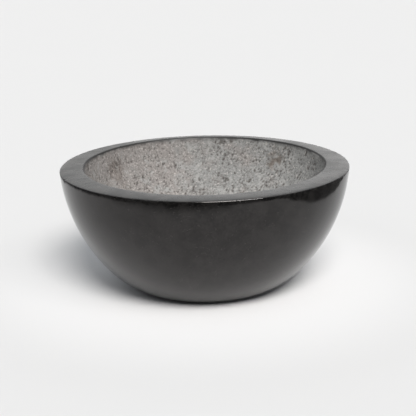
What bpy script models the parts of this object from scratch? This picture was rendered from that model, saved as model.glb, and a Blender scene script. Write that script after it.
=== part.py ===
"""A footless stone mortar bowl, carved from one block.

The outside is turned and polished down to a flat foot, the rim is ground flat, and the hollow is
pecked out by hand, so its mouth is a little out of round and sits a little towards the back.
Metres, +Z up, the origin at the centre of the foot, the front of the bowl towards -Y.
"""

import math

import bmesh
import bpy
from mathutils import Vector
from mathutils.geometry import interpolate_bezier

# Outside of the bowl
RIM_RADIUS = 0.100
BOWL_HEIGHT = 0.085
FOOT_RADIUS = 0.047

# The outer wall leaves the rim almost upright, bellies down, and meets the foot at the heel
WALL_DRAFT = math.radians(3.0)
WALL_REACH = 0.0455
HEEL_ANGLE = math.radians(12)
HEEL_REACH = 0.019

# The flat rim, measured across the stone
RIM_WIDTH_FRONT = 0.0149
RIM_WIDTH_BACK = 0.0091
RIM_WIDTH_SIDES = 0.0162

# The hollow: stone left under it, and how far its wall and its floor keep their own direction
FLOOR_THICKNESS = 0.020
HOLLOW_WALL_DRAFT = math.radians(4.0)
HOLLOW_WALL_REACH = 0.038
HOLLOW_FLOOR_REACH = 0.048

# Eased edges
RIM_ROUND = 0.0010
LIP_ROUND = 0.0012
FOOT_ROUND = 0.0010

# Facets
STEPS_AROUND = 72
WALL_STEPS = 14
ROUND_STEPS = 3
SMOOTH_BELOW = math.radians(30)
WELD = 0.00001


def clear_scene():
    for old in list(bpy.data.objects):
        bpy.data.objects.remove(old, do_unlink=True)


def stone_material():
    """Near-black basalt, polished outside."""
    material = bpy.data.materials.new("polished_black_stone")
    material.use_nodes = True
    shader = material.node_tree.nodes["Principled BSDF"]
    shader.inputs["Base Color"].default_value = (0.022, 0.022, 0.021, 1.0)
    shader.inputs["Roughness"].default_value = 0.25
    shader.inputs["Metallic"].default_value = 0.0
    material.diffuse_color = (0.022, 0.022, 0.021, 1.0)
    return material


def outer_wall_points():
    """The outer wall's section, from the rim down to the foot."""
    rim = Vector((RIM_RADIUS, 0, BOWL_HEIGHT))
    foot = Vector((FOOT_RADIUS, 0, 0))
    rim_handle = rim - WALL_REACH * Vector((math.sin(WALL_DRAFT), 0, math.cos(WALL_DRAFT)))
    foot_handle = foot + HEEL_REACH * Vector((math.cos(HEEL_ANGLE), 0, math.sin(HEEL_ANGLE)))
    return interpolate_bezier(rim, rim_handle, foot_handle, foot, WALL_STEPS + 1)


def hollow_points():
    """The hollow's section through its sides, from the mouth down to the middle of its floor."""
    mouth = Vector((RIM_RADIUS - RIM_WIDTH_SIDES, 0, BOWL_HEIGHT))
    middle = Vector((0, 0, FLOOR_THICKNESS))
    draft = Vector((math.sin(HOLLOW_WALL_DRAFT), 0, math.cos(HOLLOW_WALL_DRAFT)))
    mouth_handle = mouth - HOLLOW_WALL_REACH * draft
    floor_handle = middle + HOLLOW_FLOOR_REACH * Vector((1, 0, 0))
    return interpolate_bezier(mouth, mouth_handle, floor_handle, middle, WALL_STEPS + 1)


def spin_section(bm, wall, hollow):
    """Spins the two halves of the section round Z as one line. Returns the hollow's vertices."""
    in_hollow = bm.verts.layers.int.new("in_hollow")
    section = [bm.verts.new(point) for point in wall[::-1] + hollow]
    for vert in section[len(wall):]:
        vert[in_hollow] = 1
    edges = [bm.edges.new(pair) for pair in zip(section, section[1:])]
    bmesh.ops.spin(
        bm,
        geom=section + edges,
        axis=(0, 0, 1),
        cent=(0, 0, 0),
        angle=math.tau,
        steps=STEPS_AROUND,
        use_merge=True,
    )
    bmesh.ops.remove_doubles(bm, verts=bm.verts, dist=WELD)
    return [vert for vert in bm.verts if vert[in_hollow]]


def ring_edges(bm, point):
    """The edges of the ring that one point of the section makes."""
    ring = {
        vert
        for vert in bm.verts
        if abs(vert.co.z - point.z) < WELD and abs(vert.co.xy.length - point.x) < WELD
    }
    return [edge for edge in bm.edges if edge.verts[0] in ring and edge.verts[1] in ring]


def round_edges(bm, edges, width):
    bmesh.ops.bevel(
        bm,
        geom=edges,
        offset=width,
        offset_type="OFFSET",
        segments=ROUND_STEPS,
        profile=0.5,
        affect="EDGES",
        material=-1,
    )


def shape_mouth(bm, hollow):
    """Draws the round hollow out from front to back, and moves it to leave the rim its widths."""
    width = 2 * (RIM_RADIUS - RIM_WIDTH_SIDES)
    depth = 2 * RIM_RADIUS - RIM_WIDTH_FRONT - RIM_WIDTH_BACK
    bmesh.ops.scale(bm, vec=(1, depth / width, 1), verts=hollow)
    bmesh.ops.translate(bm, vec=(0, (RIM_WIDTH_FRONT - RIM_WIDTH_BACK) / 2, 0), verts=hollow)


def stone_bowl():
    bm = bmesh.new()
    wall = outer_wall_points()
    hollow = hollow_points()
    hollow_verts = spin_section(bm, wall, hollow)
    rim_edges = ring_edges(bm, wall[0])
    foot_edges = ring_edges(bm, wall[-1])
    mouth_edges = ring_edges(bm, hollow[0])
    bmesh.ops.contextual_create(bm, geom=foot_edges)
    shape_mouth(bm, hollow_verts)

    round_edges(bm, rim_edges, RIM_ROUND)
    round_edges(bm, mouth_edges, LIP_ROUND)
    round_edges(bm, foot_edges, FOOT_ROUND)
    bmesh.ops.recalc_face_normals(bm, faces=bm.faces)

    mesh = bpy.data.meshes.new("stone_bowl")
    bm.to_mesh(mesh)
    bm.free()
    mesh.shade_smooth()
    mesh.set_sharp_from_angle(angle=SMOOTH_BELOW)
    mesh.materials.append(stone_material())

    bowl = bpy.data.objects.new("stone_bowl", mesh)
    bpy.context.scene.collection.objects.link(bowl)
    return bowl


clear_scene()
stone_bowl()
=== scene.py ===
import math
import random

import bmesh
import bpy
from mathutils import Matrix, Quaternion, Vector, noise
from mathutils.geometry import interpolate_bezier
from mathutils.kdtree import KDTree


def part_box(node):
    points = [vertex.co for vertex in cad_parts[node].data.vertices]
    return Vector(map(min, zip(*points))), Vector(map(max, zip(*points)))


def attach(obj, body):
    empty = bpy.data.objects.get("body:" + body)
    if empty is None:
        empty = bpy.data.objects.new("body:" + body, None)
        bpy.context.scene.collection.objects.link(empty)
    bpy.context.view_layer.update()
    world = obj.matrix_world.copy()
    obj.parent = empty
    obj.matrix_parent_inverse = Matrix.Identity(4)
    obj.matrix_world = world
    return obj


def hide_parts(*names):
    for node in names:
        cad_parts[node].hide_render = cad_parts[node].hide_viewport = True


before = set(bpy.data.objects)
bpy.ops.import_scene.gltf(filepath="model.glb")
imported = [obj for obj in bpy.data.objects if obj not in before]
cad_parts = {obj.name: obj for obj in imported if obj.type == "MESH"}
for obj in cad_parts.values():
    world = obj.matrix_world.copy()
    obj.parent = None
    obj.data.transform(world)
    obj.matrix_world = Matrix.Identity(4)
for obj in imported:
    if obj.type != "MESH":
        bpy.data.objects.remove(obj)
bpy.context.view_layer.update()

mm = 0.001
touching = 0.1 * mm  # what is nearer than this counts as meeting

# The block of stone, in millimetres and degrees. The outline repeats the CAD body's.
bowl = {
    "node": "stone_bowl",
    "footRadius": 47.0,
    "wallDraft": 3.0,  # off upright at the rim
    "wallReach": 45.5,  # how far the wall keeps its own direction
    "heelAngle": 12.0,  # above the table, where the wall meets the foot
    "heelReach": 19.0,
    "rimFront": 14.9,  # widths of the flat rim
    "rimBack": 9.1,
    "rimSides": 16.2,
    "floorThickness": 20.0,
    "hollowDraft": 4.0,
    "hollowReach": 38.0,
    "hollowFloorReach": 48.0,
    "arrisRound": 1.0,  # the rim's outer edge
    "lipRound": 1.2,
    "footRound": 1.0,
    "wallRows": 40,
    "hollowRows": 33,
    "roundRows": 5,
    "hollowSplit": 3,  # rows put between each two of the hollow's
    "rimSplit": 5,
    "footSplit": 6,
    "columns": 720,  # meridians at the mouth
    "doublings": 4,  # of the sector that is spun, until it goes all the way round
    "weld": 0.01,
    "wallSpacing": 2,  # one meridian in so many is left below the rim
    "hollowSpacing": ((56, 2), (29, 4), (15, 8), (8, 16)),  # and inside each radius in the hollow
    "footSpacing": ((0.95, 4), (0.6, 8), (0.35, 16), (0.2, 32)),  # and share of the foot's radius
    "rimNear": 0.12,  # faces this near the rim's plane are ground, not polished
    "footNear": 0.05,
}


def vertsIn(made):
    return [item for item in made if isinstance(item, bmesh.types.BMVert)]


def linkObject(name, data):
    made = bpy.data.objects.new(name, data)
    bpy.context.scene.collection.objects.link(made)
    return made


def wallPoints(rimRadius, height):
    rim = Vector((rimRadius, 0, height))
    foot = Vector((bowl["footRadius"] * mm, 0, 0))
    draft = math.radians(bowl["wallDraft"])
    heel = math.radians(bowl["heelAngle"])
    rimHandle = rim - bowl["wallReach"] * mm * Vector((math.sin(draft), 0, math.cos(draft)))
    footHandle = foot + bowl["heelReach"] * mm * Vector((math.cos(heel), 0, math.sin(heel)))
    return interpolate_bezier(foot, footHandle, rimHandle, rim, bowl["wallRows"] + 1)


def hollowPoints(rimRadius, height):
    mouth = Vector((rimRadius - bowl["rimSides"] * mm, 0, height))
    middle = Vector((0, 0, bowl["floorThickness"] * mm))
    draft = math.radians(bowl["hollowDraft"])
    mouthHandle = mouth - bowl["hollowReach"] * mm * Vector((math.sin(draft), 0, math.cos(draft)))
    floorHandle = middle + Vector((bowl["hollowFloorReach"] * mm, 0, 0))
    return interpolate_bezier(mouth, mouthHandle, floorHandle, middle, bowl["hollowRows"] + 1)


def easeCorner(bm, corner, width):
    bmesh.ops.bevel(
        bm,
        geom=[corner],
        offset=width * mm,
        offset_type="OFFSET",
        segments=bowl["roundRows"],
        profile=0.5,
        affect="VERTICES",
        material=-1,
    )


def drawSection(bm, rimRadius, height):
    # one line: out along the foot, up the wall, over the rim, down to the middle of the hollow
    inHollow = bm.verts.layers.int["inHollow"]
    footMiddle = bm.verts.new((0, 0, 0))
    wall = [bm.verts.new(point) for point in wallPoints(rimRadius, height)]
    hollow = [bm.verts.new(point) for point in hollowPoints(rimRadius, height)]
    for vert in hollow:
        vert[inHollow] = 1
    line = [footMiddle] + wall + hollow
    for pair in zip(line, line[1:]):
        bm.edges.new(pair)
    easeCorner(bm, wall[0], bowl["footRound"])
    easeCorner(bm, wall[-1], bowl["arrisRound"])
    easeCorner(bm, hollow[0], bowl["lipRound"])
    footEdge = [edge for edge in bm.edges if footMiddle in edge.verts]
    bmesh.ops.subdivide_edges(bm, edges=footEdge, cuts=bowl["footSplit"])
    # the eased lip has rows enough; what lies well below it gets more
    below = height - 1.5 * bowl["lipRound"] * mm
    deep = [
        edge
        for edge in bm.edges
        if all(vert[inHollow] and vert.co.z < below for vert in edge.verts)
    ]
    bmesh.ops.subdivide_edges(bm, edges=deep, cuts=bowl["hollowSplit"])
    print("section drawn:", len(bm.verts), "points")


def turnSection(bm):
    # one sector is spun, then doubled until it closes: quicker than one long spin
    sectors = 2 ** bowl["doublings"]
    sector = math.tau / sectors
    bmesh.ops.spin(
        bm,
        geom=bm.verts[:] + bm.edges[:],
        axis=(0, 0, 1),
        cent=(0, 0, 0),
        angle=sector,
        steps=bowl["columns"] // sectors,
        use_merge=False,
    )
    for doubling in range(bowl["doublings"]):
        turn = Matrix.Rotation(sector * 2**doubling, 3, "Z")
        copied = bmesh.ops.duplicate(bm, geom=bm.verts[:] + bm.edges[:] + bm.faces[:])
        bmesh.ops.rotate(bm, cent=(0, 0, 0), matrix=turn, verts=vertsIn(copied["geom"]))
    bmesh.ops.remove_doubles(bm, verts=bm.verts, dist=bowl["weld"] * mm)
    print("section turned:", len(bm.faces), "faces")


def columnOf(vert):
    return round(math.atan2(vert.co.y, vert.co.x) / math.tau * bowl["columns"]) % bowl["columns"]


def thinColumns(bm, verts, spacing):
    # takes every other meridian that is left out of this patch, which narrows towards the axis
    patch = set(verts)
    spare = []
    for edge in bm.edges:
        if edge.verts[0] not in patch or edge.verts[1] not in patch:
            continue
        inner, outer = sorted(edge.verts, key=lambda vert: vert.co.xy.length)
        column = columnOf(outer)
        upright = inner.co.xy.length < touching or columnOf(inner) == column
        if upright and column % spacing == spacing // 2:
            spare.append(edge)
    bmesh.ops.dissolve_edges(bm, edges=spare, use_verts=True, use_face_split=False)


def thinMesh(bm, height):
    inHollow = bm.verts.layers.int["inHollow"]
    for radius, spacing in bowl["hollowSpacing"]:
        near = [v for v in bm.verts if v[inHollow] and v.co.xy.length < radius * mm]
        thinColumns(bm, near, spacing)
    below = height - 3 * bowl["arrisRound"] * mm
    wall = [v for v in bm.verts if not v[inHollow] and v.co.z < below]
    thinColumns(bm, wall, bowl["wallSpacing"])
    for share, spacing in bowl["footSpacing"]:
        radius = share * (bowl["footRadius"] * mm)
        flat = [v for v in bm.verts if not v[inHollow] and v.co.z < touching]
        thinColumns(bm, [v for v in flat if v.co.xy.length < radius], spacing)
    print("mesh thinned:", len(bm.faces), "faces")


def shapeMouth(bm, rimRadius):
    # the hollow was cut by hand: its mouth is a little out of round and sits towards the back
    inHollow = bm.verts.layers.int["inHollow"]
    hollow = [vert for vert in bm.verts if vert[inHollow]]
    width = 2 * (rimRadius - bowl["rimSides"] * mm)
    depth = 2 * rimRadius - (bowl["rimFront"] + bowl["rimBack"]) * mm
    bmesh.ops.scale(bm, vec=(1, depth / width, 1), verts=hollow)
    shift = (bowl["rimFront"] - bowl["rimBack"]) / 2 * mm
    bmesh.ops.translate(bm, vec=(0, shift, 0), verts=hollow)
    flat = [edge for edge in bm.edges if edge.verts[0][inHollow] != edge.verts[1][inHollow]]
    cut = bmesh.ops.subdivide_edges(bm, edges=flat, cuts=bowl["rimSplit"], use_grid_fill=True)
    for vert in vertsIn(cut["geom_inner"]):
        vert[inHollow] = 0


def paintFaces(bm, height):
    # the slots are polished, ground and pecked stone
    inHollow = bm.verts.layers.int["inHollow"]
    for face in bm.faces:
        face.smooth = True
        middle = face.calc_center_median()
        if middle.z > height - bowl["rimNear"] * mm or middle.z < bowl["footNear"] * mm:
            face.material_index = 1
        elif all(vert[inHollow] for vert in face.verts):
            face.material_index = 2
        else:
            face.material_index = 0


# How the stone was worked, in millimetres. A wave is its strength, its length and its octaves.
finish = {
    "seed": 11,
    "pits": 12500,  # marks of the point
    "pitRadius": (0.7, 2.0),
    "pitDepth": (0.12, 0.55),
    "pitNarrow": (1.0, 2.0),  # how many times longer than wide
    "pitScatter": 0.3,  # how far off a point of the mesh its middle may lie
    "pitGathering": (1.5, 12.0, 2),  # the patches where they crowd
    "pitFewest": 0.08,  # how many are left between the patches, as a share
    "lipKept": 0.3,  # height of the eased lip that isn't pecked at all
    "lipBare": 0.9,  # height under the rim that the point never reached
    "lipUneven": (0.3, 7.0, 3),
    "lipFade": 0.7,
    "lipWave": (0.35, 24.0, 2),  # how far the mouth wanders
    "lipWaveDepth": 8.0,
    "dressing": (0.35, 16.0, 2),  # unevenness of the pecked wall
    "grain": (0.10, 1.3, 2),
    "stains": ((-129, 68, 9.0, 0.4), (141, 72, 6.0, 0.75)),  # degrees round, height, size, strength
    "stainRagged": (0.9, 5.0, 3),
    "stainEnds": 1.4,  # in sizes from its middle
    "wallWave": (0.14, 38.0, 1),  # left by the hand in the polished wall
    "wallSettles": 12.0,  # height above the foot where the wave is whole
    "rimFlat": 0.05,  # the rim is what lies less than this under its plane
    "rimWave": (0.05, 30.0, 2),
    "rimSunk": 0.025,  # keeps the crests of its wave near its plane
    "rimCrown": 0.5,  # the rim is rubbed down towards its outer edge
    "rimCrownWidth": 10.0,
    "rimCrownFades": 12.0,  # height of wall that sinks less and less with it
    "arrisWear": (0.06, 3.0, 3),
    "arrisReach": 1.2,
    "chips": 14,  # nicks along the rim's outer edge
    "chipSize": (0.6, 1.5),
    "chipBand": 3.0,
    "chipLow": 0.2,
    "chipDepth": 0.35,  # as a share of its size
}


def smoothStep(value):
    value = max(0.0, min(1.0, value))
    return value * value * (3 - 2 * value)


def waveAt(point, wave):
    strength, length, octaves = wave
    return strength * noise.fractal(point / (length * mm), 1.0, 2.0, octaves)


def roundFromFront(vert):
    return math.atan2(vert.co.x, -vert.co.y)


def markPecked(hollow, pecked, stain, height):
    # the point stopped short of the lip, and oil and spice have stained two places
    for vert in hollow:
        under = (height - vert.co.z) / mm - finish["lipBare"]
        under += waveAt(vert.co, finish["lipUneven"])
        vert[pecked] = smoothStep(under / finish["lipFade"])
        for turn, level, size, strength in finish["stains"]:
            across = (roundFromFront(vert) - math.radians(turn)) * vert.co.xy.length / mm
            reach = math.hypot(across, vert.co.z / mm - level) / size
            reach += waveAt(vert.co, finish["stainRagged"])
            vert[stain] = max(vert[stain], strength * smoothStep(finish["stainEnds"] - reach))


def pitShares(hollow):
    # how likely each point is to be struck
    shares = []
    for vert in hollow:
        area = sum(face.calc_area() for face in vert.link_faces)
        crowd = 1.0 + waveAt(vert.co, finish["pitGathering"])
        shares.append(area * max(finish["pitFewest"], crowd))
    return shares


def strikePits(hollow, pit):
    # each mark of the point is a small dent, long one way; small ones are the commonest
    rng = random.Random(finish["seed"])
    tree = KDTree(len(hollow))
    for index, vert in enumerate(hollow):
        tree.insert(vert.co, index)
    tree.balance()
    small, large = finish["pitRadius"]
    shallow, deepest = finish["pitDepth"]
    scatter = finish["pitScatter"]
    for vert in rng.choices(hollow, weights=pitShares(hollow), k=finish["pits"]):
        radius = (small + (large - small) * rng.random() ** 2) * mm
        deep = rng.uniform(shallow, deepest) / deepest
        along = Vector([rng.gauss(0, 1) for axis in "xyz"]).cross(vert.normal).normalized()
        narrow = rng.uniform(*finish["pitNarrow"])
        centre = vert.co + Vector([rng.uniform(-scatter, scatter) * mm for axis in "xyz"])
        for point, index, distance in tree.find_range(centre, radius):
            lengthwise = (point - centre).dot(along)
            crosswise = max(0.0, distance**2 - lengthwise**2)
            reach = (lengthwise**2 + narrow**2 * crosswise) / radius**2
            if reach < 1:
                hollow[index][pit] = max(hollow[index][pit], deep * (1 - reach))


def waveMouth(bm, height):
    inHollow = bm.verts.layers.int["inHollow"]
    depth = finish["lipWaveDepth"] * mm
    for vert in bm.verts:
        if vert[inHollow] and vert.co.z > height - depth:
            near = smoothStep(1 - (height - vert.co.z) / depth)
            outwards = Vector((vert.co.x, vert.co.y, 0)).normalized()
            vert.co += outwards * near * waveAt(vert.co, finish["lipWave"]) * mm


def peckHollow(bm, height):
    inHollow = bm.verts.layers.int["inHollow"]
    pecked = bm.verts.layers.float["pecked"]
    pit = bm.verts.layers.float["pit"]
    stain = bm.verts.layers.float["stain"]
    top = height - finish["lipKept"] * mm
    hollow = [vert for vert in bm.verts if vert[inHollow] and vert.co.z < top]
    markPecked(hollow, pecked, stain, height)
    strikePits(hollow, pit)
    for vert in hollow:
        rise = waveAt(vert.co, finish["dressing"]) + waveAt(vert.co, finish["grain"])
        sink = finish["pitDepth"][1] * vert[pit]
        vert.co += vert.normal * vert[pecked] * (rise - sink) * mm
        vert[pit] *= vert[pecked]
    waveMouth(bm, height)
    print("hollow pecked:", finish["pits"], "marks")


def workOutside(bm, rimRadius, height):
    # the wall is turned true but polished by hand; the rim is rubbed down, most at its outer edge
    inHollow = bm.verts.layers.int["inHollow"]
    for vert in bm.verts:
        if vert[inHollow] or vert.co.z < touching:
            continue
        below = (height - vert.co.z) / mm
        inwards = max(0.0, (rimRadius - vert.co.xy.length) / mm)
        place = vert.co.copy()
        if below > finish["rimFlat"]:
            settle = min(1.0, vert.co.z / (finish["wallSettles"] * mm))
            vert.co += vert.normal * settle * waveAt(place, finish["wallWave"]) * mm
        else:
            vert.co.z += (waveAt(place, finish["rimWave"]) - finish["rimSunk"]) * mm
        crown = 1.0
        if below < finish["arrisReach"]:
            vert.co += vert.normal * waveAt(place, finish["arrisWear"]) * mm
            crown = max(0.0, 1 - inwards / finish["rimCrownWidth"]) ** 2
        fading = smoothStep(1 - below / finish["rimCrownFades"])
        vert.co.z -= finish["rimCrown"] * crown * fading * mm
    print("outside worked")


def chipArris(bm, rimRadius, height):
    # small nicks, where the rim's outer edge has been knocked
    rng = random.Random(finish["seed"] + 1)
    band = finish["chipBand"] * mm
    rim = [vert for vert in bm.verts if vert.co.z > height - band]
    edge = [vert for vert in rim if vert.co.xy.length > rimRadius - band]
    corner = height - (finish["rimCrown"] + finish["chipLow"]) * mm
    for chip in range(finish["chips"]):
        turn = rng.uniform(0, math.tau)
        size = rng.uniform(*finish["chipSize"]) * mm
        centre = Vector((rimRadius * math.cos(turn), rimRadius * math.sin(turn), corner))
        inwards = Vector((-math.cos(turn), -math.sin(turn), -1)).normalized()
        for vert in edge:
            reach = (vert.co - centre).length / size
            if reach < 1:
                vert.co += inwards * finish["chipDepth"] * size * (1 - reach)


def makeMaterial(name):
    material = bpy.data.materials.new(name)
    material.use_nodes = True
    return material, material.node_tree, material.node_tree.nodes["Principled BSDF"]


def addNode(tree, kind, **settings):
    node = tree.nodes.new(kind)
    for name, value in settings.items():
        setattr(node, name, value)
    return node


def stonePosition(tree):
    return addNode(tree, "ShaderNodeTexCoord").outputs["Object"]


def addNoise(tree, size, detail=2.0, roughness=0.5, distortion=0.0):
    node = addNode(tree, "ShaderNodeTexNoise")
    node.inputs["Scale"].default_value = 1 / (size * mm)
    node.inputs["Detail"].default_value = detail
    node.inputs["Roughness"].default_value = roughness
    node.inputs["Distortion"].default_value = distortion
    tree.links.new(stonePosition(tree), node.inputs["Vector"])
    return node.outputs["Fac"]


def addCells(tree, size):
    node = addNode(tree, "ShaderNodeTexVoronoi")
    node.inputs["Scale"].default_value = 1 / (size * mm)
    tree.links.new(stonePosition(tree), node.inputs["Vector"])
    return node.outputs["Distance"]


def addRange(tree, value, fromLow, fromHigh, toLow=0.0, toHigh=1.0, smooth=True):
    node = addNode(tree, "ShaderNodeMapRange", clamp=True)
    node.interpolation_type = "SMOOTHSTEP" if smooth else "LINEAR"
    names = ("From Min", "From Max", "To Min", "To Max")
    for name, number in zip(names, (fromLow, fromHigh, toLow, toHigh)):
        node.inputs[name].default_value = number
    tree.links.new(value, node.inputs["Value"])
    return node.outputs["Result"]


def addPatches(tree, pattern, span):
    return addRange(tree, addNoise(tree, *pattern), *span)


def addMath(tree, operation, first, second):
    node = addNode(tree, "ShaderNodeMath", operation=operation)
    for socket, value in zip(node.inputs, (first, second)):
        if isinstance(value, (int, float)):
            socket.default_value = value
        else:
            tree.links.new(value, socket)
    return node.outputs["Value"]


def addMix(tree, factor, first, second, blend="MIX"):
    node = addNode(tree, "ShaderNodeMix", data_type="RGBA", blend_type=blend)
    # the colour mix's own factor and two colours, among the sockets of its other kinds
    for number, value in ((0, factor), (6, first), (7, second)):
        socket = node.inputs[number]
        if isinstance(value, bpy.types.NodeSocket):
            tree.links.new(value, socket)
        elif isinstance(value, (int, float)):
            socket.default_value = value
        else:
            socket.default_value = (*value, 1.0)
    return node.outputs[2]


def addBump(tree, shader, height, depth):
    node = addNode(tree, "ShaderNodeBump")
    node.inputs["Strength"].default_value = 1.0
    node.inputs["Distance"].default_value = depth * mm
    tree.links.new(height, node.inputs["Height"])
    tree.links.new(node.outputs["Normal"], shader.inputs["Normal"])


def readAttribute(tree, name):
    return addNode(tree, "ShaderNodeAttribute", attribute_name=name).outputs["Fac"]


# Colours are linear. A pattern is its size in millimetres, detail, roughness and distortion, and a
# span is the pattern's two values between which it fades in, with what it then goes from and to.
polishedLook = {
    "dark": (0.0006, 0.0006, 0.0005),
    "pale": (0.0105, 0.0098, 0.0094),
    "clouds": (9.0, 5.0, 0.62),
    "grit": (1.3, 3.0, 0.7),
    "cloudSpan": (0.82, 1.18),
    "fleck": (0.045, 0.042, 0.039),
    "fleckCells": 1.5,
    "fleckSpan": (0.10, 0.24, 1.0, 0.0),
    "fleckPatches": (5.0, 3.0),
    "fleckPatchSpan": (0.52, 0.66),
    "smudges": (26.0, 4.0, 0.6, 0.4),
    "smudgeSpan": (0.3, 0.7, 0.07, 0.13),  # to the roughness
    "gloss": 1.5,
    "sheen": (1.0, 0.955, 0.945),
    "skin": (1.1, 3.0, 0.6),
    "skinDepth": 0.012,
}


def polishedStone():
    look = polishedLook
    material, tree, shader = makeMaterial("polishedStone")
    clouds = addMath(tree, "ADD", addNoise(tree, *look["clouds"]), addNoise(tree, *look["grit"]))
    body = addMix(tree, addRange(tree, clouds, *look["cloudSpan"]), look["dark"], look["pale"])
    small = addRange(tree, addCells(tree, look["fleckCells"]), *look["fleckSpan"])
    sparse = addPatches(tree, look["fleckPatches"], look["fleckPatchSpan"])
    flecks = addMath(tree, "MULTIPLY", small, sparse)
    tree.links.new(addMix(tree, flecks, body, look["fleck"]), shader.inputs["Base Color"])
    smudges = addPatches(tree, look["smudges"], look["smudgeSpan"])
    tree.links.new(smudges, shader.inputs["Roughness"])
    shader.inputs["IOR"].default_value = look["gloss"]
    shader.inputs["Specular Tint"].default_value = (*look["sheen"], 1.0)
    addBump(tree, shader, addNoise(tree, *look["skin"]), look["skinDepth"])
    return material


groundLook = {
    "dark": (0.036, 0.035, 0.034),
    "pale": (0.062, 0.059, 0.056),
    "clouds": (12.0, 5.0, 0.6),
    "cloudSpan": (0.32, 0.68),
    "fleck": (0.12, 0.115, 0.105),
    "flecks": (0.9, 2.0),
    "fleckSpan": (0.56, 0.72, 0.0, 0.45),
    "rubbed": (15.0, 4.0, 0.6),
    "rubbedSpan": (0.3, 0.7, 0.22, 0.33),  # to the roughness
    "gloss": 1.5,
    "skin": (0.7, 3.0, 0.6),
    "skinDepth": 0.02,
}


def groundStone():
    look = groundLook
    material, tree, shader = makeMaterial("groundStone")
    clouds = addPatches(tree, look["clouds"], look["cloudSpan"])
    body = addMix(tree, clouds, look["dark"], look["pale"])
    flecks = addPatches(tree, look["flecks"], look["fleckSpan"])
    tree.links.new(addMix(tree, flecks, body, look["fleck"]), shader.inputs["Base Color"])
    rubbed = addPatches(tree, look["rubbed"], look["rubbedSpan"])
    tree.links.new(rubbed, shader.inputs["Roughness"])
    shader.inputs["IOR"].default_value = look["gloss"]
    addBump(tree, shader, addNoise(tree, *look["skin"]), look["skinDepth"])
    return material


peckedLook = {
    "warm": (0.268, 0.249, 0.237),
    "cool": (0.250, 0.252, 0.246),
    "clouds": (18.0, 5.0, 0.62),
    "cloudSpan": (0.36, 0.64),
    "drift": 3.4,  # how much cooler the stone is towards +X, per metre
    "paintedLightRight": (0.015, 0.078, 1.0, 1.34),  # and how many times paler it is painted, from one place to the other: painted light standing in for light on the hollow's right side
    "bright": (0.51, 0.48, 0.455),
    "shade": (0.112, 0.104, 0.098),
    "crushed": (1.4, 3.0, 0.68),
    "brightSpan": (0.54, 0.72),
    "shadeSpan": (0.47, 0.32),
    "bruised": (0.345, 0.342, 0.332),  # crushed smooth between the pits
    "bruises": (9.0, 4.0, 0.6, 0.6),
    "bruiseSpan": (0.53, 0.64, 0.0, 0.75),
    # painted shade: the colour the pits go to at their deepest
    "pit": (0.068, 0.059, 0.053),
    "pitSpan": (0.2, 1.0),
    "stain": (0.40, 0.31, 0.25),
    "lip": (0.020, 0.019, 0.018),  # rubbed dark where the point never reached
    "roughSpan": (0.0, 1.0, 0.5, 0.85),  # from the lip's roughness to the pecked wall's
    "gloss": 1.5,
    "skin": (0.7, 4.0, 0.7),
    "skinDepth": 0.25,
}


def crushedColour(tree, across):
    # clouds of two tints, grains crushed bright or left dark, bruises, and painted shade in the
    # pits, darker the deeper they are
    look = peckedLook
    drift = addMath(tree, "MULTIPLY", across, look["drift"])
    clouds = addMath(tree, "ADD", addNoise(tree, *look["clouds"]), drift)
    body = addMix(tree, addRange(tree, clouds, *look["cloudSpan"]), look["warm"], look["cool"])
    crushed = addNoise(tree, *look["crushed"])
    body = addMix(tree, addRange(tree, crushed, *look["brightSpan"]), body, look["bright"])
    body = addMix(tree, addRange(tree, crushed, *look["shadeSpan"]), body, look["shade"])
    bruises = addPatches(tree, look["bruises"], look["bruiseSpan"])
    body = addMix(tree, bruises, body, look["bruised"])
    paintedPitShade = addRange(tree, readAttribute(tree, "pit"), *look["pitSpan"])
    return addMix(tree, paintedPitShade, body, look["pit"])


def stainColour(tree, body):
    stained = addMix(tree, 1.0, body, peckedLook["stain"], "MULTIPLY")
    return addMix(tree, readAttribute(tree, "stain"), body, stained)


def paintLightRight(tree, body, across):
    # painted light: the hollow's colour is made paler towards +X, where the lamps light it too
    # little
    paintedLightRight = addRange(tree, across, *peckedLook["paintedLightRight"], smooth=False)
    scaled = addNode(tree, "ShaderNodeVectorMath", operation="SCALE")
    tree.links.new(body, scaled.inputs[0])
    tree.links.new(paintedLightRight, scaled.inputs["Scale"])
    return scaled.outputs["Vector"]


def peckedStone():
    look = peckedLook
    material, tree, shader = makeMaterial("peckedStone")
    place = addNode(tree, "ShaderNodeSeparateXYZ")
    tree.links.new(stonePosition(tree), place.inputs["Vector"])
    across = place.outputs["X"]
    body = stainColour(tree, crushedColour(tree, across))
    reached = readAttribute(tree, "pecked")
    body = addMix(tree, reached, look["lip"], paintLightRight(tree, body, across))
    tree.links.new(body, shader.inputs["Base Color"])
    tree.links.new(addRange(tree, reached, *look["roughSpan"]), shader.inputs["Roughness"])
    shader.inputs["IOR"].default_value = look["gloss"]
    skin = addMath(tree, "MULTIPLY", addNoise(tree, *look["skin"]), reached)
    addBump(tree, shader, skin, look["skinDepth"])
    return material


def makeBowl():
    low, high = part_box(bowl["node"])
    height = high.z
    # the corner that the eased edge takes off stands a hair wider than the stone
    corner = bowl["arrisRound"] * mm * math.tan(math.radians(bowl["wallDraft"]))
    rimRadius = (high.x - low.x) / 2 + corner
    bm = bmesh.new()
    bm.verts.layers.int.new("inHollow")
    for name in ("pecked", "pit", "stain"):
        bm.verts.layers.float.new(name)
    drawSection(bm, rimRadius, height)
    turnSection(bm)
    thinMesh(bm, height)
    shapeMouth(bm, rimRadius)
    bmesh.ops.recalc_face_normals(bm, faces=bm.faces)
    bm.normal_update()
    paintFaces(bm, height)
    peckHollow(bm, height)
    workOutside(bm, rimRadius, height)
    chipArris(bm, rimRadius, height)
    print("bowl:", sum(len(face.verts) - 2 for face in bm.faces), "triangles")
    mesh = bpy.data.meshes.new("carvedBowl")
    bm.to_mesh(mesh)
    bm.free()
    for material in (polishedStone(), groundStone(), peckedStone()):
        mesh.materials.append(material)
    piece = linkObject("carvedBowl", mesh)
    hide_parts(bowl["node"])
    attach(piece, "root")


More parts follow.
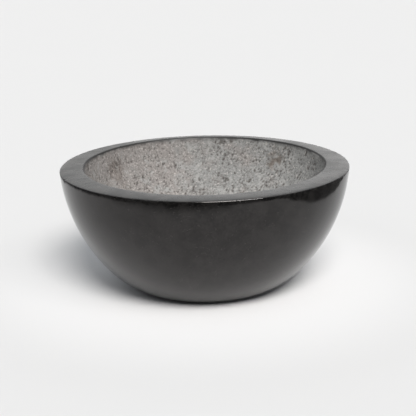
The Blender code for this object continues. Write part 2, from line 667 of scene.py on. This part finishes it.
# The stage, in metres. None of it is part of the object.
tableTop = {
    "size": 16.0,
    "segments": 8,
    # near is painted light: the table top is made paler round the bowl, standing in for light
    # thrown back from its wall, and goes over to far further out
    "near": (0.975, 0.975, 0.98),
    "far": (0.738, 0.738, 0.738),
    "paintedLightFade": (0.05, 0.19),  # distances from the bowl's axis, over which the painted light fades out
    "roughness": 0.9,
}


def makeMatte(name, roughness):
    material, tree, shader = makeMaterial(name)
    shader.inputs["Roughness"].default_value = roughness
    shader.inputs["Specular IOR Level"].default_value = 0.0
    return material, tree, shader.inputs["Base Color"]


def makeFloor():
    bm = bmesh.new()
    segments = tableTop["segments"]
    half = tableTop["size"] / 2
    bmesh.ops.create_grid(bm, x_segments=segments, y_segments=segments, size=half)
    mesh = bpy.data.meshes.new("tableTop")
    bm.to_mesh(mesh)
    bm.free()
    material, tree, baseColour = makeMatte("paleTopPaintedLight", tableTop["roughness"])
    # painted light: paler near the bowl's axis, fading to the far colour
    away = addNode(tree, "ShaderNodeVectorMath", operation="LENGTH")
    tree.links.new(stonePosition(tree), away.inputs[0])
    paintedLightFade = addRange(tree, away.outputs["Value"], *tableTop["paintedLightFade"])
    tree.links.new(addMix(tree, paintedLightFade, tableTop["near"], tableTop["far"]), baseColour)
    mesh.materials.append(material)
    linkObject("tableTop", mesh)


# What the polished stone mirrors past the pale sheet that it stands on, where the room is dim.
# Each row: degrees round from the front, where the sheet starts to fall off, where it has gone.
darkEdge = {
    "edge": (
        (-180, 0.34, 0.42),
        (-110, 0.33, 0.40),
        (-79, 0.285, 0.355),
        (-47, 0.225, 0.30),
        (-20, 0.212, 0.27),
        (5, 0.222, 0.275),
        (28, 0.275, 0.33),
        (48, 0.305, 0.335),
        (62, 0.243, 0.255),
        (76, 0.222, 0.230),
        (90, 0.226, 0.234),
        (104, 0.245, 0.253),
        (114, 0.272, 0.282),
        (122, 0.32, 0.33),
        (130, 0.42, 0.44),
        (180, 0.34, 0.42),
    ),
    "steps": 144,
    "reach": 3.0,
    "lift": 0.001,  # above the table top
    "roughness": 1.0,
    "sheet": (0.738, 0.738, 0.738),
    "colour": (0.11, 0.11, 0.11),
}


def edgeAt(degrees):
    rows = darkEdge["edge"]
    for (before, *low), (after, *high) in zip(rows, rows[1:]):
        if degrees <= after:
            share = smoothStep((degrees - before) / (after - before))
            return [first + (second - first) * share for first, second in zip(low, high)]
    return list(rows[-1][1:])


def growRings(bm, count):
    # a circle, and others grown from it with faces between
    bmesh.ops.create_circle(bm, segments=darkEdge["steps"], radius=1.0)
    rings = [bm.verts[:]]
    while len(rings) < count:
        last = rings[-1]
        edges = [edge for edge in bm.edges if all(vert in last for vert in edge.verts)]
        grown = bmesh.ops.extrude_edge_only(bm, edges=edges)
        rings.append(vertsIn(grown["geom"]))
    return rings


def makeDarkEdge():
    # three rings: the sheet starts to fall off, it has gone, and the card ends
    bm = bmesh.new()
    dim = bm.verts.layers.float.new("dim")
    for number, ring in enumerate(growRings(bm, 3)):
        for vert in ring:
            starts, ends = edgeAt(math.degrees(roundFromFront(vert)))
            radius = (starts, ends, darkEdge["reach"])[number]
            way = vert.co.xy.normalized()
            vert.co = (way.x * radius, way.y * radius, darkEdge["lift"])
            vert[dim] = min(1, number)
    mesh = bpy.data.meshes.new("darkEdge")
    bm.to_mesh(mesh)
    bm.free()
    material, tree, baseColour = makeMatte("dimRoom", darkEdge["roughness"])
    dimmed = readAttribute(tree, "dim")
    tree.links.new(addMix(tree, dimmed, darkEdge["sheet"], darkEdge["colour"]), baseColour)
    mesh.materials.append(material)
    card = linkObject("darkEdge", mesh)
    card.visible_camera = False
    card.visible_diffuse = False
    card.visible_shadow = False
    card.visible_transmission = False


# Two soft lamps: degrees to the right, degrees up, spread, strength
softLamps = {
    "lamps": ((11, 45, 25, 2.62), (38, 50, 25, 0.60)),
    "colour": (1.0, 0.978, 0.952),
}


def makeLamps():
    for number, (turn, height, spread, strength) in enumerate(softLamps["lamps"]):
        data = bpy.data.lights.new(f"lamp{number}", "SUN")
        data.energy = strength
        data.angle = math.radians(spread)
        data.color = softLamps["colour"]
        lamp = linkObject(f"lamp{number}", data)
        lamp.rotation_euler = (math.radians(90 - height), 0, math.radians(turn))


# A long lamp that only glints, mostly along the rim's outer edge. Degrees and metres.
strip = {
    "turn": 35,
    "height": 42,
    "distance": 1.5,
    "length": 0.60,
    "width": 0.10,
    "power": 10,
}


def makeStrip():
    data = bpy.data.lights.new("strip", "AREA")
    data.shape = "RECTANGLE"
    data.size = strip["length"]
    data.size_y = strip["width"]
    data.energy = strip["power"]
    lamp = linkObject("strip", data)
    turn = Matrix.Rotation(math.radians(strip["turn"]), 4, "Z")
    tilt = Matrix.Rotation(math.radians(90 - strip["height"]), 4, "X")
    lamp.matrix_world = turn @ tilt @ Matrix.Translation((0, 0, strip["distance"]))
    lamp.visible_diffuse = False
    lamp.visible_camera = False


# The room's colours by direction. A pair is where, along one axis of the direction, the next
# colour fades in.
room = {
    "front": (0.06, 0.06, 0.063),
    "backLeft": (0.72, 0.72, 0.715),
    "backRight": (1.02, 1.015, 1.01),
    "backTurns": (-0.16, 0.16),  # from left to right
    "sheetStarts": (0.45, 0.90),  # towards the back
    "above": (0.47, 0.488, 0.508),
    "overheadStarts": (0.23, 0.50),  # upwards
    "backdrop": (0.85, 0.85, 0.845),  # what is seen past the table top
}


def makeRoom():
    # dim low down in front, a pale sheet rising at the back, soft light from overhead
    world = bpy.data.worlds.new("room")
    world.use_nodes = True
    tree = world.node_tree
    background = tree.nodes["Background"]
    way = addNode(tree, "ShaderNodeSeparateXYZ")
    tree.links.new(addNode(tree, "ShaderNodeTexCoord").outputs["Generated"], way.inputs["Vector"])
    across = addRange(tree, way.outputs["X"], *room["backTurns"])
    back = addMix(tree, across, room["backLeft"], room["backRight"])
    behind = addRange(tree, way.outputs["Y"], *room["sheetStarts"])
    low = addMix(tree, behind, room["front"], back)
    overhead = addRange(tree, way.outputs["Z"], *room["overheadStarts"])
    light = addMix(tree, overhead, low, room["above"])
    seen = addNode(tree, "ShaderNodeLightPath").outputs["Is Camera Ray"]
    tree.links.new(addMix(tree, seen, light, room["backdrop"]), background.inputs["Color"])
    bpy.context.scene.world = world


camera = {
    "place": (0.0, -0.7793, 0.2660),
    "aim": (0.0018, 0.0, 0.0531),
    "roll": -1.166,
    "lens": 99.7,
    "sensor": 36.0,
    "clip": (0.05, 60.0),
}


def makeCamera():
    data = bpy.data.cameras.new("camera")
    data.lens = camera["lens"]
    data.sensor_width = camera["sensor"]
    data.clip_start, data.clip_end = camera["clip"]
    eye = linkObject("camera", data)
    eye.location = camera["place"]
    facing = (Vector(camera["aim"]) - eye.location).to_track_quat("-Z", "Y")
    turned = facing @ Quaternion((0, 0, 1), math.radians(camera["roll"]))
    eye.rotation_euler = turned.to_euler()
    bpy.context.scene.camera = eye


makeCamera()
makeLamps()
makeStrip()
makeRoom()
makeFloor()
makeDarkEdge()
print("studio made")
makeBowl()
bpy.context.scene.view_settings.view_transform = "Standard"
